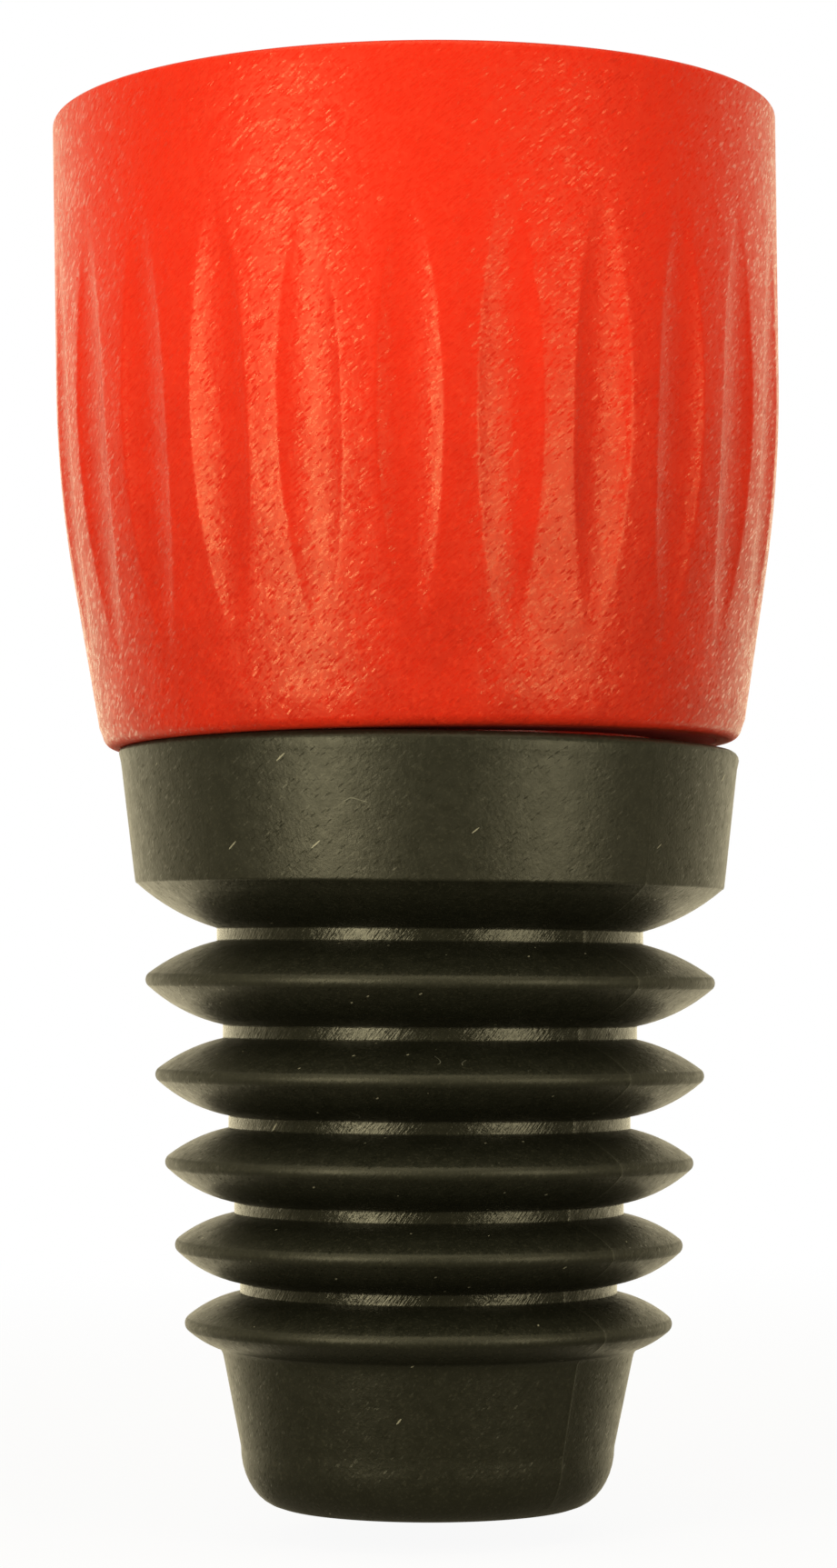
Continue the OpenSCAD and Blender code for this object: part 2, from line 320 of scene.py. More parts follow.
gripLook = {
    "index": 1.37,
    "tint": (1.0, 0.9, 0.46),
    "frosting": (0.2, 0.65),        # weight and roughness of its wide, weak gloss
    "scatter": (0.12, (1.0, 0.25, 0.1), 0.5),   # weight, radii and scale in mm
    # painted light: a darker colour for the lower wall and a lighter one at the mouth
    "shadedWallColour": (0.58, 0.015, 0.0025),
    "litMouthColour": (0.87, 0.021, 0.004),
    "paintedLightDepths": (15, 3),         # painted light: the wall grows lighter between these depths, towards the mouth
    # size in mm, share and colour
    "cloud": (1.6, 0.25, (0.88, 0.028, 0.006)),
    "grain": (0.14, 0.35, (0.95, 0.06, 0.02)),
    "patch": 0.6,
    "slant": (9.0, 0.6),            # the radius it suits, and how far the pattern is drawn out
    "glint": {"spacing": 0.085, "size": 0.052, "share": 0.7, "tilt": 0.36},
    "rough": (0.34, 0.44),
    "glintPolish": 0.2,
    "patchDepth": 0.032,
    "grainDepth": 0.011,
}
gripBendRadius = grip["bend"] / math.sin(math.radians(grip["taper"]))
gripBendIn = gripBendRadius * (1 - math.cos(math.radians(grip["taper"])))
gripBendEnd = grip["straight"] + grip["bend"]
gripSlope = math.tan(math.radians(grip["taper"]))
gripLowRadius = grip["radius"] - gripBendIn - (grip["length"] - gripBendEnd) * gripSlope


def gripSide(depth):
    if depth < grip["straight"]:
        return grip["radius"]
    if depth < gripBendEnd:
        fall = depth - grip["straight"]
        return grip["radius"] - gripBendRadius + math.sqrt(gripBendRadius ** 2 - fall ** 2)
    return grip["radius"] - gripBendIn - (depth - gripBendEnd) * gripSlope


def fluteHalfAngle(depth):
    # half the angle that a flute takes at this depth, and the radius at which its hollow is centred
    along = 2 * (depth - grip["fluteTop"]) / (grip["fluteLow"] - grip["fluteTop"]) - 1
    side = gripSide(depth)
    if abs(along) >= 1:
        return 0.0, side
    depthHere = grip["fluteDepth"] * (1 - along * along) ** grip["flutePoint"]
    centre = side - depthHere + grip["fluteRadius"]
    cosine = (side ** 2 + centre ** 2 - grip["fluteRadius"] ** 2) / (2 * side * centre)
    if cosine >= 1:
        return 0.0, centre
    return math.acos(cosine), centre


def gripOutline():
    low = grip["lowEdge"]
    rim = grip["rimEdge"]
    points = [(grip["seatRadius"], 0)]
    points += cornerPoints((grip["radius"] - rim, -rim), rim, 90, 0, 4)
    depths = list(grip["rowsAbove"])
    span = grip["fluteLow"] - grip["fluteTop"]
    for i in range(grip["fluteRows"] + 1):
        share = i / grip["fluteRows"]
        crowding = grip["rowCrowding"] * math.sin(fullTurn * share)
        depths.append(grip["fluteTop"] + span * (share - crowding))
    depths += grip["rowsBelow"]
    points += [(gripSide(d), -d) for d in depths]
    corner = (gripLowRadius - low, low - grip["length"])
    points += cornerPoints(corner, low, -grip["taper"], -90, 9)
    points += [
        (grip["lowSeatRadius"], -grip["length"]),
        (grip["lowSeatRadius"], -grip["shoulder"]),
        (grip["seatRadius"], -grip["shoulder"]),
    ]
    return points


def softLower(a, b, soft):
    # the lower of two radii, rounded where they cross
    h = max(soft - abs(a - b), 0) / soft
    return min(a, b) - h * h * soft / 4


def columnWidth(depth, half, pitch):
    # the columns close in on the flute near its ends, and even out beyond them
    ease = 1.0
    if depth <= grip["fluteTop"]:
        ease = max(0.0, 1 - (grip["fluteTop"] - depth) / grip["evenAbove"])
    elif depth >= grip["fluteLow"]:
        ease = max(0.0, 1 - (depth - grip["fluteLow"]) / grip["evenBelow"])
    least, more = grip["leastWidth"]
    return max(half, pitch * (least + more * (1 - ease)))


def makeGrip(material):
    shares = grip["columns"]
    perSide = len(shares) - 1
    steps = grip["fluteCount"] * perSide * 2
    bm = turnPoints(gripOutline(), steps)
    pitch = fullTurn / grip["fluteCount"]
    outer = grip["lowSeatRadius"] + grip["wall"]
    for vert in bm.verts:
        r = math.hypot(vert.co.x, vert.co.y) / mm
        depth = -vert.co.z / mm
        angle = math.atan2(vert.co.y, vert.co.x)
        column = round(angle / fullTurn * steps)
        flute = round(column / (2 * perSide))
        offset = column - flute * 2 * perSide
        share = shares[abs(offset)]
        side = 1 if offset >= 0 else -1
        half, centre = fluteHalfAngle(depth)
        width = columnWidth(depth, half, pitch)
        if share <= 1:
            away = share * width
        else:
            away = width + (share - 1) * (pitch / 2 - width)
        turned = flute * pitch + side * away + math.radians(grip["fluteTurn"] - 90)
        between = grip["rimEdge"] < depth < grip["length"] - grip["lowEdge"]
        sideways = centre * math.sin(away)
        if r > outer and between and half > 0 and abs(sideways) < grip["fluteRadius"]:
            hollow = math.sqrt(grip["fluteRadius"] ** 2 - sideways ** 2)
            r = softLower(r, centre * math.cos(away) - hollow, grip["edgeSoft"])
        vert.co.x = r * mm * math.cos(turned)
        vert.co.y = r * mm * math.sin(turned)
    return makePiece("gripShell", bm, material, 40)


def dullBelow(tree):
    # faces that look down are left as dull as they come from the mould
    surface = tree.nodes.new("ShaderNodeNewGeometry").outputs["True Normal"]
    return remap(tree, partOf(tree, surface, "Z"), -0.6, -0.95, 0, 0.5)


def gripPlastic():
    look = gripLook
    material, tree, shader = startMaterial("frostedOrangePlastic", look)
    where = patternPlace(tree)
    shader.inputs["Coat Weight"].default_value = look["frosting"][0]
    shader.inputs["Coat Roughness"].default_value = look["frosting"][1]
    cloudSize, cloudShare, cloudColour = look["cloud"]
    grainSize, grainShare, grainColour = look["grain"]
    cloud = noiseAt(tree, where, cloudSize, 2)
    patches = noiseAt(tree, where, look["patch"], 2)
    grain = noiseAt(tree, where, grainSize, 2, 0.6)
    slanted = stretched(tree, twisted(tree, where, look["slant"][0]), look["slant"][1])
    glints, glintNormal = glintsAt(tree, slanted, **look["glint"])
    # painted light: the wall is painted lighter towards the mouth and darker towards its lower end,
    # for how the light falls on it
    low, high = look["paintedLightDepths"]
    rise = remap(tree, partOf(tree, where, "Z"), -low * mm, -high * mm, 0, 1, True)
    colour = mixColours(tree, rise, look["shadedWallColour"], look["litMouthColour"])
    colour = mixColours(tree, remap(tree, cloud, 0.35, 0.65, 0, cloudShare), colour, cloudColour)
    colour = mixColours(tree, remap(tree, grain, 0.5, 0.8, 0, grainShare), colour, grainColour)
    tree.links.new(colour, shader.inputs["Base Color"])
    rough = remap(tree, patches, 0.3, 0.7, *look["rough"])
    rough = mathOf(tree, "SUBTRACT", rough, remap(tree, glints, 0, 1, 0, look["glintPolish"]))
    rough = mathOf(tree, "ADD", rough, dullBelow(tree))
    tree.links.new(rough, shader.inputs["Roughness"])
    normal = bumpOf(tree, patches, look["patchDepth"], glintNormal)
    normal = bumpOf(tree, grain, look["grainDepth"], normal)
    tree.links.new(normal, shader.inputs["Normal"])
    return material


gripPiece = makeGrip(gripPlastic())
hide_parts("grip_collar")
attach(gripPiece, "bushing")


boot = {
    "top": 16.5,
    "topRadius": 8.16,
    "topEdge": 0.24,
    "pressed": 16.41,               # no higher than this, where it is pressed against the core
    "collarEnd": 20.12,
    "collarLowRadius": 7.7585,
    "collarLowEdge": 0.12,
    "domeSwell": 0.13,
    # where the neck above starts and ends, its radius, and the crest's depth and radius
    "ribs": [
        (21.31, 21.64, 5.62, 22.65, 7.5),
        (23.795, 24.145, 5.46, 25.1, 7.23),
        (26.17, 26.505, 5.3, 27.395, 6.96),
        (28.43, 28.75, 5.135, 29.565, 6.69),
        (30.53, 30.835, 4.97, 31.62, 6.42),
    ],
    "upperSwell": 0.1,
    "lowerSwell": 0.14,
    "crestRound": 0.22,
    "tailTop": 32.2,
    "tailFillet": 0.22,
    "tailRadius": 5.455,
    "tailLowRadius": 4.925,
    "tailEdge": (1.1, 1.55),        # across and up
    "exitEdge": 0.279,
    "cableRadius": 3.5,
    "length": 36.4,
    "seatRadius": 6.225,
    "grooveRadius": 6.725,
    "grooves": [(16.876, 17.51), (18.196, 18.83)],
    "sleeveEnd": 19.82,
    "boreRadius": 4.3,
    "steps": 240,
    "collarRows": 12,
    "boreRows": 17,
    # the mould's parting line: where it is, and for it and the columns on each side of it
    # how far they stand from it and their share of its height
    "partingAngle": -46.0,
    "partingHeight": 0.014,
    "partingColumns": [(0, 1), (0.022, 0.35), (0.045, 0), (0.2, 0), (0.5, 0)],
    "partingOnCollar": 0.2,         # share of its height that is left on the collar's side
    "partingFrom": 4.6,             # no line on what lies nearer the axis
    # how the soft boot sits on the core, from its top down: depth, slopes of its rings
    # sideways and forwards in degrees, and how far it is off the axis
    "stance": [(16.5, 1.5, 0, 0.167), (20.1, 1.45, 0.6, 0.14), (22.6, 1.2, 0.35, 0.118),
               (24.0, 1.02, 0.2, 0.092), (33.0, 0.88, 0.1, -0.08), (36.4, 0.88, 0, -0.146)],
    "slopeRadius": 6.0,
    "bedEnd": 26.0,                 # the bed on the core's sleeve stays true, down to here
}
bootLook = {
    "index": 1.48,
    "tint": (1.0, 0.97, 0.74),
    "patch": 0.35,
    "patchColours": ((0.0085, 0.009, 0.0055), (0.0115, 0.012, 0.0075)),
    "grain": (0.09, 0.6, (0.032, 0.031, 0.02)),     # size in mm, share and colour
    "line": (0.6, (0.05, 0.05, 0.035)),
    "slantRadius": 6.5,
    # how far along the slant each is drawn out
    "dustDraw": 0.3,
    "speckDraw": 0.6,
    "streakDraw": 0.15,
    "dust": {"spacing": 0.55, "size": 0.032, "share": 0.7},
    "dustColour": (0.26, 0.25, 0.18),
    "lint": {"spacing": 2.4, "size": 0.42, "share": 0.3},
    "lintCurl": 0.9,
    "lintWidth": 0.006,
    "lintColour": (0.1, 0.1, 0.075),
    "speck": {"spacing": 0.075, "size": 0.04, "share": 0.5, "tilt": 0.3},
    "streak": 0.06,
    "rough": (0.34, 0.42),
    "satinRough": 0.04,
    "neckSmooth": 0.18,
    "patchDepth": 0.01,
    "grainDepth": 0.008,
    "streakDepth": 0.014,
}


def bootOutline():
    # the outline and, for each of its points, how glossy and how satin it is and if it is inside
    points = []
    finish = []

    def add(more, gloss, satin, inside=0):
        points.extend(more)
        finish.extend([(gloss, satin, inside)] * len(more))

    edge = boot["topEdge"]
    add([(boot["seatRadius"], -boot["top"])], 0, 0, 1)
    add(cornerPoints((boot["topRadius"] - edge, -boot["top"] - edge), edge, 90, 0, 4), 0, 1)
    collarTop = Vector((boot["topRadius"], -boot["top"]))
    side = Vector((boot["collarLowRadius"], -boot["collarEnd"])) - collarTop
    for i in range(1, boot["collarRows"]):
        p = collarTop + side * (0.06 + 0.9 * i / boot["collarRows"])
        add([(p.x, p.y)], 0, 1)
    low = boot["collarLowEdge"]
    corner = (boot["collarLowRadius"] - low, -boot["collarEnd"] + 0.2 * low)
    add(cornerPoints(corner, low, 0, -40, 3), 0, 1)
    domeStart = (boot["collarLowRadius"] - 0.06, -boot["collarEnd"] - 0.07)
    domeEnd = (boot["ribs"][0][2], -boot["ribs"][0][0])
    add(arcPoints(domeStart, domeEnd, boot["domeSwell"], 8), 0, 0)
    tip = boot["crestRound"]
    for i, (neckTop, neckLow, neck, depth, crest) in enumerate(boot["ribs"]):
        for share in (0.08, 0.3, 0.5, 0.7, 0.92):
            add([(neck, -(neckTop + (neckLow - neckTop) * share))], 1, 0)
        nose = cornerPoints((crest - tip, -depth), tip, 52, -52, 8)
        add(arcPoints((neck, -neckLow), nose[0], boot["upperSwell"], 9), 0, 0)
        add(nose[1:-1], 0, 2.5)
        if i + 1 < len(boot["ribs"]):
            lowEnd = (boot["ribs"][i + 1][2], -boot["ribs"][i + 1][0])
            add(arcPoints(nose[-1], lowEnd, boot["lowerSwell"], 9), 0, 0)
    # the last rib runs into the tail with a fillet
    fillet = boot["tailFillet"]
    start = (boot["tailRadius"] + fillet, -boot["tailTop"])
    end = (boot["tailRadius"] - 0.04, -boot["tailTop"] - fillet)
    add(arcPoints(nose[-1], start, 0.03, 5), 0, 0.5)
    add(arcPoints(start, end, -0.05, 4)[1:], 0, 0.5)
    edgeAcross, edgeUp = boot["tailEdge"]
    tailRound = boot["length"] - edgeUp
    for share in (0.14, 0.25, 0.5, 0.75, 0.92):
        r = boot["tailRadius"] + (boot["tailLowRadius"] - boot["tailRadius"]) * share
        add([(r, -(boot["tailTop"] + (tailRound - boot["tailTop"]) * share))], 0, 0.3)
    centre = (boot["tailLowRadius"] - edgeAcross, -tailRound)
    corner = cornerPoints((0, 0), 1, 0, -90, 10)
    add([(centre[0] + x * edgeAcross, centre[1] + y * edgeUp) for x, y in corner], 0, 0.3)
    centre = (boot["cableRadius"] + boot["exitEdge"], boot["exitEdge"] - boot["length"])
    add(cornerPoints(centre, boot["exitEdge"], -90, -180, 5), 0, 0.3)
    for depth in (35.0, 34.0, 33.0, boot["tailTop"]):
        add([(boot["cableRadius"], -depth)], 0, 0, 1)
    for i in range(1, boot["boreRows"]):
        share = i / boot["boreRows"]
        r = boot["cableRadius"] + (boot["boreRadius"] - boot["cableRadius"]) * share
        depth = boot["tailTop"] + (boot["sleeveEnd"] - boot["tailTop"]) * share
        add([(r, -depth)], 0, 0, 1)
    add([(boot["boreRadius"], -boot["sleeveEnd"]), (boot["seatRadius"], -boot["sleeveEnd"])], 0, 0, 1)
    for top, low in reversed(boot["grooves"]):
        add([(boot["seatRadius"], -low), (boot["grooveRadius"], -low),
             (boot["grooveRadius"], -top), (boot["seatRadius"], -top)], 0, 0, 1)
    return points, finish


def partingLine(angle, r, z):
    # the columns beside the line close in on it and rise: the new place, and the share of the rise
    for middle in (math.radians(boot["partingAngle"]), math.radians(boot["partingAngle"] + 180)):
        away = (angle - middle + math.pi) % fullTurn - math.pi
        column = round(away / fullTurn * boot["steps"])
        if abs(column) < len(boot["partingColumns"]) and r > boot["partingFrom"]:
            beside, rise = boot["partingColumns"][abs(column)]
            if -boot["collarEnd"] < z:
                rise *= boot["partingOnCollar"]
            return middle + math.copysign(beside, column) / r, r + boot["partingHeight"] * rise, rise
    return angle, r, 0.0


def makeBoot(material):
    points, finish = bootOutline()
    bm = turnPoints(points, boot["steps"])
    # the finish of a vertex is that of the outline's nearest point
    lookUp = {}
    gloss = bm.verts.layers.float.new("gloss")
    satin = bm.verts.layers.float.new("satin")
    rest = bm.verts.layers.float_vector.new("restPlace")
    seam = bm.verts.layers.float.new("seam")
    for vert in bm.verts:
        r = math.hypot(vert.co.x, vert.co.y) / mm
        z = vert.co.z / mm
        key = (round(r, 2), round(z, 2))
        if key not in lookUp:
            apart = [abs(point[0] - r) + abs(point[1] - z) for point in points]
            lookUp[key] = finish[apart.index(min(apart))]
        vert[gloss], vert[satin], inside = lookUp[key]
        angle, r, vert[seam] = partingLine(math.atan2(vert.co.y, vert.co.x), r, z)
        vert.co.x = r * mm * math.cos(angle)
        vert.co.y = r * mm * math.sin(angle)
        vert[rest] = vert.co.copy()
        vert.co = leanBoot(vert.co, inside)
    return makePiece("bootSkin", bm, material, 50)


def stanceAt(depth):
    table = boot["stance"]
    for above, below in zip(table, table[1:]):
        if depth <= below[0]:
            share = max(0.0, (depth - above[0]) / (below[0] - above[0]))
            return [a + (b - a) * share for a, b in zip(above[1:], below[1:])]
    return table[-1][1:]


def leanBoot(co, inside):
    depth = -co.z / mm
    share = 1.0
    if inside:
        share = (depth - boot["sleeveEnd"]) / (boot["bedEnd"] - boot["sleeveEnd"])
        share = min(1.0, max(0.0, share))
    sideways, forwards, shift = stanceAt(depth)
    rise = (co.y + boot["slopeRadius"] * mm) * math.sin(math.radians(forwards))
    rise -= co.x * math.sin(math.radians(sideways))
    height = min(co.z + rise, -boot["pressed"] * mm)
    return co.lerp(Vector((co.x + shift * mm, co.y, height)), share)


def attributeOf(tree, name):
    node = tree.nodes.new("ShaderNodeAttribute")
    node.attribute_name = name
    return node.outputs["Fac"]


def lintAt(tree, where, look):
    # a few thin curled fibres, where a slow pattern crosses its middle
    curl = noiseAt(tree, where, look["lintCurl"], 0)
    away = mathOf(tree, "ABSOLUTE", mathOf(tree, "SUBTRACT", curl, 0.5))
    line = mathOf(tree, "LESS_THAN", away, look["lintWidth"])
    return mathOf(tree, "MULTIPLY", line, flecksAt(tree, where, **look["lint"]))


def bootRubber():
    look = bootLook
    material, tree, shader = startMaterial("softBlackBoot", look)
    where = patternPlace(tree, "restPlace")
    grainSize, grainShare, grainColour = look["grain"]
    grain = noiseAt(tree, where, grainSize, 2, 0.6)
    patches = noiseAt(tree, where, look["patch"], 2)
    gloss = attributeOf(tree, "gloss")
    satin = attributeOf(tree, "satin")
    colour = mixColours(tree, remap(tree, patches, 0.3, 0.7, 0, 1), *look["patchColours"])
    colour = mixColours(tree, remap(tree, grain, 0.54, 0.72, 0, grainShare), colour, grainColour)
    lineShare, lineColour = look["line"]
    line = remap(tree, attributeOf(tree, "seam"), 0.2, 1, 0, lineShare)
    colour = mixColours(tree, line, colour, lineColour)
    slanted = twisted(tree, where, look["slantRadius"])
    dust = flecksAt(tree, stretched(tree, slanted, look["dustDraw"]), **look["dust"])
    colour = mixColours(tree, dust, colour, look["dustColour"])
    colour = mixColours(tree, lintAt(tree, where, look), colour, look["lintColour"])
    tree.links.new(colour, shader.inputs["Base Color"])
    rough = remap(tree, patches, 0.3, 0.7, *look["rough"])
    rough = mathOf(tree, "ADD", rough, mathOf(tree, "MULTIPLY", satin, look["satinRough"]))
    rough = mathOf(tree, "SUBTRACT", rough, mathOf(tree, "MULTIPLY", gloss, look["neckSmooth"]))
    tree.links.new(rough, shader.inputs["Roughness"])
    # slanted tool marks show on the glossy necks, and a fine grain everywhere
    streaks = noiseAt(tree, stretched(tree, slanted, look["streakDraw"]), look["streak"], 2, 0.6)
    streaks = mathOf(tree, "MULTIPLY", streaks, gloss)
    specks = stretched(tree, slanted, look["speckDraw"])
    normal = glintsAt(tree, specks, **look["speck"])[1]
    normal = bumpOf(tree, patches, look["patchDepth"], normal)
    normal = bumpOf(tree, grain, look["grainDepth"], normal)
    normal = bumpOf(tree, streaks, look["streakDepth"], normal)
    tree.links.new(normal, shader.inputs["Normal"])
    return material


bootPiece = makeBoot(bootRubber())
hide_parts("boot_collar", "boot_bellows", "boot_tail")
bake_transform(bootPiece)


core = {
    "radius": 8.2,
    "rimEdge": 0.1,
    "leadRadius": 7.85,
    "threadRadius": 7.5,
    "threadMinorRadius": 6.9587,
    "threadTop": 1.4,
    "threadPitch": 1.0,
    "threadTurns": 7,
    "threadCrest": 0.125,           # half its width, as a share of the pitch
    "threadRoot": 0.0625,           # and the same of its root
    "threadEdge": 0.03,             # rounding of the thread's corners
    "shoulder": 11.5,
    "lowRadius": 7.7067,
    "gripEnd": 16.4,
    "chamberRadius": 6.7067,
    "coneTop": 13.6,
    "coneEnd": 18.8,
    "throatRadius": 4.4,
    "length": 19.8,
    "sleeveRadius": 6.205,
    "rings": [16.896, 18.216],
    "ringHeight": 0.5,
    "ringLength": 0.594,
    "steps": 120,
}
# the core is of the grip's plastic, which shows in the gap above the boot
coreLook = {
    "index": 1.5,
    "scatter": (0.1, (1.0, 0.1, 0.03), 0.3),
    "cloud": 2.0,
    "cloudColours": ((0.68, 0.015, 0.003), (0.78, 0.019, 0.005)),
    "grain": 0.15,
    "rough": (0.24, 0.36),
    "dullBelow": True,
    "cloudDepth": 0.03,
    "grainDepth": 0.006,
}


def spinThread(bm):
    # one pitch of the outline climbs as a screw, and is trimmed to the thread's two ends
    pitch = core["threadPitch"]
    minor = core["threadMinorRadius"]
    major = core["threadRadius"]
    soft = core["threadEdge"] * pitch
    crest = core["threadCrest"] * pitch
    root = (0.5 - core["threadRoot"]) * pitch
    slope = (major - minor) / (root - crest)
    half = [
        (minor, 0),
        (minor, crest - soft),
        (minor + soft * slope, crest + soft),
        (major - soft * slope, root - soft),
        (major, root + soft / 2),
    ]
    outline = half + [(r, pitch - z) for r, z in reversed(half)]
    low = core["threadTop"] + (core["threadTurns"] + 1) * pitch
    verts = [bm.verts.new((r * mm, 0, (z - low) * mm)) for r, z in outline]
    edges = [bm.edges.new(pair) for pair in zip(verts, verts[1:])]
    turns = core["threadTurns"] + 2
    bmesh.ops.spin(bm, geom=verts + edges, cent=(0, 0, 0), axis=(0, 0, 1),
                   dvec=(0, 0, pitch * mm / core["steps"]), angle=fullTurn * turns,
                   steps=core["steps"] * turns, use_merge=False, use_duplicate=False)
    bmesh.ops.remove_doubles(bm, verts=bm.verts, dist=0.003 * mm)
    end = core["threadTop"] + core["threadTurns"] * pitch
    for depth, up in ((core["threadTop"], 1), (end, -1)):
        bmesh.ops.bisect_plane(bm, geom=bm.verts[:] + bm.edges[:] + bm.faces[:], dist=0.0005 * mm,
                               plane_co=(0, 0, -depth * mm), plane_no=(0, 0, up), clear_outer=True)
    return end


def coreOutline(threadEnd):
    edge = core["rimEdge"]
    points = [(core["leadRadius"], -depth) for depth in (core["threadTop"], 0.7, edge)]
    points += [(core["leadRadius"] + edge / 2, 0)]
    points += cornerPoints((core["radius"] - edge, -edge), edge, 90, 0, 3)
    points += [
        (core["radius"], -6),
        (core["radius"], -core["shoulder"]),
        (core["lowRadius"], -core["shoulder"]),
        (core["lowRadius"], -core["gripEnd"]),
        (core["sleeveRadius"], -core["gripEnd"]),
    ]
    for depth in core["rings"]:
        points += [
            (core["sleeveRadius"], -depth),
            (core["sleeveRadius"] + core["ringHeight"], -depth),
            (core["sleeveRadius"] + core["ringHeight"] / 2, -depth - core["ringLength"]),
            (core["sleeveRadius"], -depth - core["ringLength"]),
        ]
    points += [
        (core["sleeveRadius"], -core["length"]),
        (core["throatRadius"], -core["length"]),
        (core["throatRadius"], -core["coneEnd"] - 0.1),
        (core["throatRadius"] + 0.03, -core["coneEnd"] + 0.06),
    ]
    for share in (0.25, 0.5, 0.75):
        r = core["throatRadius"] + (core["chamberRadius"] - core["throatRadius"]) * share
        points.append((r, -(core["coneEnd"] + (core["coneTop"] - core["coneEnd"]) * share)))
    for depth in (core["coneTop"], 11, threadEnd):
        points.append((core["chamberRadius"], -depth))
    return points


def makeCore(material):
    bm = bmesh.new()
    threadEnd = spinThread(bm)
    verts = [bm.verts.new((r * mm, 0, z * mm)) for r, z in coreOutline(threadEnd)]
    edges = [bm.edges.new(pair) for pair in zip(verts, verts[1:])]
    bmesh.ops.spin(bm, geom=verts + edges, cent=(0, 0, 0), axis=(0, 0, 1), dvec=(0, 0, 0),
                   angle=fullTurn, steps=core["steps"], use_merge=True, use_duplicate=False)
    # flat rings close the thread's ends to the lead-in above and the chamber below
    for depth in (core["threadTop"], threadEnd):
        rim = [e for e in bm.edges if e.is_boundary and abs(e.verts[0].co.z + depth * mm) < 0.01 * mm]
        bmesh.ops.bridge_loops(bm, edges=rim)
    bmesh.ops.recalc_face_normals(bm, faces=bm.faces)
    return makePiece("threadedCore", bm, material, 30)


def smoothPlastic(name, look):
    material, tree, shader = startMaterial(name, look)
    where = patternPlace(tree)
    cloud = noiseAt(tree, where, look["cloud"], 3)
    colour = mixColours(tree, remap(tree, cloud, 0.3, 0.7, 0, 1), *look["cloudColours"])
    tree.links.new(colour, shader.inputs["Base Color"])
    grain = noiseAt(tree, where, look["grain"], 2, 0.6)
    rough = remap(tree, grain, 0.3, 0.7, *look["rough"])
    if look["dullBelow"]:
        rough = mathOf(tree, "ADD", rough, dullBelow(tree))
    tree.links.new(rough, shader.inputs["Roughness"])
    normal = bumpOf(tree, cloud, look["cloudDepth"])
    tree.links.new(bumpOf(tree, grain, look["grainDepth"], normal), shader.inputs["Normal"])
    return material


corePiece = makeCore(smoothPlastic("smoothOrangePlastic", coreLook))
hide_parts("thread_core")
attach(corePiece, "bushing")


chuck = {
    "ringTop": 8.9,
    "ringLow": 10.7,
    "ringRadius": 6.5567,
    "ringChamfer": 0.3,
    "hingeRadius": 4.2,
    "jawThickness": 1.0,
    "heelAcross": 4.8988,
    "heelDepth": 15.9,
    "heelRadius": 0.6,
    "jawEnd": 17.3,
    "clampRadius": 3.8,
    "padTop": 13.4,
    "toothCount": 4,
    "toothDepth": 0.3,
    "wedgeRadius": 1.9,
    "jawCount": 6,
    "edge": 0.06,                   # softness of the moulded edges
}
chuckLook = {
    "index": 1.48,
    "scatter": (0.2, (0.6, 0.5, 0.35), 0.5),
    "cloud": 1.5,
    "cloudColours": ((0.62, 0.58, 0.47), (0.72, 0.68, 0.57)),
    "grain": 0.2,
    "rough": (0.3, 0.4),
    "dullBelow": False,
    "cloudDepth": 0.03,
    "grainDepth": 0.006,
}


def softenEdges(bm, sharpAngle, width):
    sharp = [e for e in bm.edges if e.is_manifold and e.calc_face_angle(0) > math.radians(sharpAngle)]
    bmesh.ops.bevel(bm, geom=sharp, offset=width * mm, offset_type="OFFSET", segments=2, profile=0.5,
                    affect="EDGES", material=-1, clamp_overlap=True)


def makeChuckRing(material):
    low, top = -chuck["ringLow"], -chuck["ringTop"]
    r, bore, cut = chuck["ringRadius"], chuck["hingeRadius"], chuck["ringChamfer"]
    points = [(bore, low), (r, low), (r, (low + top) / 2), (r, top - cut), (r - cut, top),
              (bore + cut, top), (bore, top - cut), (bore, (low + top) / 2)]
    bm = turnPoints(points, 96)
    softenEdges(bm, 25, chuck["edge"])
    return makePiece("chuckRing", bm, material, 60)


def jawOutline():
    hinge, clamp = chuck["hingeRadius"], chuck["clampRadius"]
    low = -chuck["ringLow"]
    heel = (chuck["heelAcross"], -chuck["heelDepth"])
    points = [(hinge, low), (hinge + chuck["jawThickness"], low)]
    points += [(hinge + chuck["jawThickness"], -chuck["heelDepth"] + chuck["heelRadius"])]
    points += cornerPoints(heel, chuck["heelRadius"], 60, -60, 6)
    points += [(chuck["heelAcross"] - chuck["heelRadius"] / 2, -chuck["jawEnd"])]
    points += [(clamp, -chuck["jawEnd"])]
    pitch = (chuck["jawEnd"] - chuck["padTop"]) / (chuck["toothCount"] + 1)
    for i in range(chuck["toothCount"], 0, -1):
        middle = -chuck["padTop"] - i * pitch
        points += [(clamp, middle - pitch / 4), (clamp + chuck["toothDepth"], middle - pitch / 4),
                   (clamp, middle + pitch / 4)]
    points += [(clamp, -chuck["padTop"]), (hinge, -chuck["padTop"] + hinge - clamp)]
    return points


def makeJaw(index, material):
    half = math.pi / chuck["jawCount"]
    bm = turnPoints(jawOutline(), 12, 2 * half)
    toMiddle = Matrix.Rotation(-half, 3, "Z")
    bmesh.ops.rotate(bm, verts=bm.verts, cent=(0, 0, 0), matrix=toMiddle)
    # both sides are cut flat, parallel to the next jaw's side
    for side in (1, -1):
        bmesh.ops.bisect_plane(bm, geom=bm.verts[:] + bm.edges[:] + bm.faces[:], dist=0.0005 * mm,
                               plane_co=(chuck["wedgeRadius"] * mm, 0, 0),
                               plane_no=(-math.sin(half), side * math.cos(half), 0), clear_outer=True)
    bmesh.ops.holes_fill(bm, edges=[e for e in bm.edges if e.is_boundary], sides=0)
    bmesh.ops.recalc_face_normals(bm, faces=bm.faces)
    toPlace = Matrix.Rotation(index * 2 * half, 3, "Z")
    bmesh.ops.rotate(bm, verts=bm.verts, cent=(0, 0, 0), matrix=toPlace)
    softenEdges(bm, 35, chuck["edge"] / 2)
    return makePiece("chuckJaw%d" % (index + 1), bm, material, 60)


